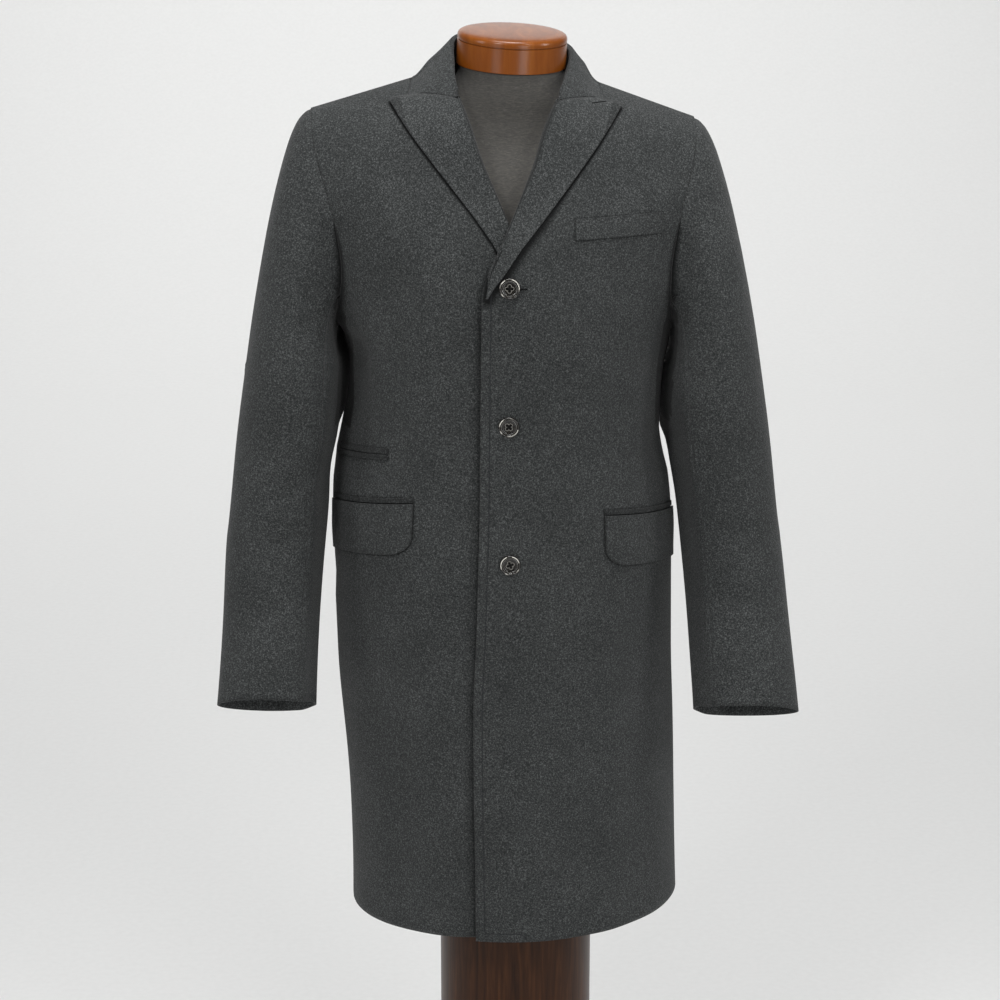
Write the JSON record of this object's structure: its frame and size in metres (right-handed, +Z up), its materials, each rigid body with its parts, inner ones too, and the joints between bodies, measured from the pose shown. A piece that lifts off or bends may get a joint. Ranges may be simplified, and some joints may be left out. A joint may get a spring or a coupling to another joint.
{
  "type": "topcoat on a dress form",
  "caption": "Single-breasted wool topcoat with peak lapels, welt and flap pockets, buttoned on a limbless dress form with a turned neck cap, round column and floor plate.",
  "frame": {"origin": "centre of the floor plate's underside, on the form's axis", "axes": "+Z up, +X towards the wearer's left, -Y the way the coat's front faces"},
  "size_m": [0.6496, 0.42, 1.4885],
  "materials": {
    "melton_wool": "brushed charcoal heather wool",
    "horn_button": "polished dark horn",
    "form_cloth": "plain tight weave",
    "cap_wood": "lacquered",
    "column_wood": "lacquered dark"
  },
  "bodies": {
    "root": {"front_left": "melton_wool", "front_right": "melton_wool", "back_left": "melton_wool", "back_right": "melton_wool", "top_sleeve_left": "melton_wool", "top_sleeve_right": "melton_wool", "under_sleeve_left": "melton_wool", "under_sleeve_right": "melton_wool", "lapel_left": "melton_wool", "lapel_right": "melton_wool", "collar": "melton_wool", "breast_welt": "melton_wool", "ticket_jet_lower": "melton_wool", "ticket_jet_upper": "melton_wool", "hip_jet_left": "melton_wool", "hip_jet_right": "melton_wool", "hip_flap_left": "melton_wool", "hip_flap_right": "melton_wool", "button_top": "horn_button", "button_middle": "horn_button", "button_bottom": "horn_button", "form_torso": "form_cloth", "form_neck_cap": "cap_wood", "form_column": "column_wood", "form_base": "column_wood"}
  },
  "joints": []
}
